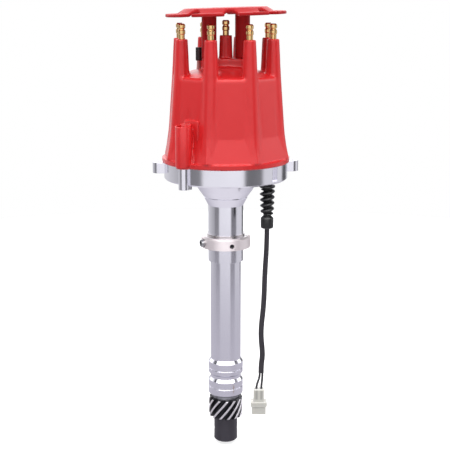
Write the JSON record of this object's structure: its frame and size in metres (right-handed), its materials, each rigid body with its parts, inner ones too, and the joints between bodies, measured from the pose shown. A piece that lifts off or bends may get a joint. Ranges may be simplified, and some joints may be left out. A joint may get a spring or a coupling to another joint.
{
  "type": "ignition distributor",
  "caption": "Electronic ignition distributor with a tall towered cap, wire retainer, polished shaft housing, slip collar, helical drive gear and a pickup lead with a plug.",
  "frame": {"origin": "on the shaft's axis, in the underside of the slip collar, which seats on the engine's intake manifold", "axes": "+Z along the shaft towards the cap; -Y is the front; +X is the side where the pickup lead hangs"},
  "size_m": [0.1314, 0.1146, 0.4048],
  "materials": {
    "polished_aluminium": "polished, fine turned lines",
    "bare_aluminium": "as machined, matte",
    "bronze": "sintered, oiled",
    "bearing_steel": "ground and polished",
    "spring_steel": "drawn",
    "zinc_screw": "zinc plated",
    "black_screw": "black oxide",
    "ground_steel": "ground",
    "plate_steel": "stamped, zinc plated",
    "washer_steel": "stamped, oiled",
    "gear_iron": "melonized dark, hobbed teeth",
    "red_plastic": "moulded, satin gloss",
    "retainer_plastic": "moulded, satin gloss",
    "rotor_plastic": "moulded",
    "terminal_brass": "turned, bright",
    "black_plastic": "moulded",
    "vent_stem_nylon": "natural nylon",
    "magnet_ferrite": "sintered",
    "coil_plastic": "taped winding on a moulded bobbin",
    "wire_insulation": "extruded, satin",
    "cable_jacket": "extruded, satin",
    "black_rubber": "moulded",
    "white_nylon": "moulded nylon",
    "carbon": "pressed carbon"
  },
  "bodies": {
    "housing_assembly": {"housing": "polished_aluminium", "lower_bushing": "bronze", "bearing_outer_race": "bearing_steel", "bearing_retaining_ring": "spring_steel", "distributor_cap": "red_plastic", "plug_terminals": "terminal_brass", "coil_terminal": "terminal_brass", "button_spring": "spring_steel", "cap_screws": "zinc_screw", "wire_retainer": "retainer_plastic", "retainer_screws": "zinc_screw", "vent_stem": "vent_stem_nylon", "vent_filter": "black_plastic", "pickup_bracket": "plate_steel", "pickup_screws": "zinc_screw", "pickup_magnet": "magnet_ferrite", "pickup_pole": "plate_steel", "pickup_coil": "coil_plastic", "pickup_leads": "wire_insulation", "strain_relief": "black_rubber", "pickup_cable": "cable_jacket", "plug_wires": "wire_insulation", "plug_housing": "white_nylon", "plug_pins": "terminal_brass"},
    "slip_collar_assembly": {"slip_collar": "bare_aluminium", "collar_clamp_screw": "black_screw", "collar_set_screw": "black_screw"},
    "shaft_assembly": {"main_shaft": "ground_steel", "drive_gear": "gear_iron", "gear_roll_pin": "spring_steel", "thrust_washers": "washer_steel", "bearing_inner_race": "bearing_steel", "shaft_spacer": "ground_steel", "advance_cam": "plate_steel", "cam_spring_posts": "ground_steel", "stop_pin": "ground_steel", "stop_bushing": "bronze", "shaft_snap_ring": "spring_steel"},
    "bearing_ball_set": {"bearing_balls": "bearing_steel"},
    "timing_assembly": {"advance_sleeve": "ground_steel", "weight_plate": "plate_steel", "weight_pivot_pins": "ground_steel", "reluctor": "plate_steel", "advance_spring_left": "spring_steel", "advance_spring_right": "spring_steel", "rotor_body": "rotor_plastic", "rotor_blade": "terminal_brass", "rotor_contact_spring": "spring_steel", "rotor_screws": "zinc_screw"},
    "left_weight": {"advance_weight_left": "plate_steel"},
    "right_weight": {"advance_weight_right": "plate_steel"},
    "button": {"carbon_button": "carbon"}
  },
  "joints": [
    {"name": "shaft_spin", "type": "hinge", "parent": "housing_assembly", "child": "shaft_assembly", "pos_m": [0, 0, 0], "axis": [0, 0, 1], "continuous": true},
    {"name": "bearing_orbit", "type": "hinge", "parent": "housing_assembly", "child": "bearing_ball_set", "pos_m": [0, 0, 0.05797], "axis": [0, 0, 1], "continuous": true},
    {"name": "advance", "type": "hinge", "parent": "shaft_assembly", "child": "timing_assembly", "pos_m": [0, 0, 0.105], "axis": [0, 0, -1], "range_deg": [0, 12], "stiffness_Nm_per_rad": 0.5, "deforming": ["advance_spring_left", "advance_spring_right"]},
    {"name": "left_weight_swing", "type": "hinge", "parent": "timing_assembly", "child": "left_weight", "pos_m": [0.024, 0, 0.109], "axis": [0, 0, -1], "range_deg": [0, 15]},
    {"name": "right_weight_swing", "type": "hinge", "parent": "timing_assembly", "child": "right_weight", "pos_m": [-0.024, 0, 0.109], "axis": [0, 0, -1], "range_deg": [0, 15]},
    {"name": "collar_slide", "type": "slide", "parent": "housing_assembly", "child": "slip_collar_assembly", "axis": [0, 0, 1], "range_m": [-0.012, 0.025]},
    {"name": "button_travel", "type": "slide", "parent": "housing_assembly", "child": "button", "axis": [0, 0, 1], "range_m": [0, 0.0015], "stiffness_N_per_m": 200, "deforming": ["button_spring"]}
  ],
  "couplings": [
    {"joint": "bearing_orbit", "follows": "shaft_spin", "ratio": 0.403},
    {"joint": "left_weight_swing", "follows": "advance", "ratio": 1.25},
    {"joint": "right_weight_swing", "follows": "advance", "ratio": 1.25}
  ]
}
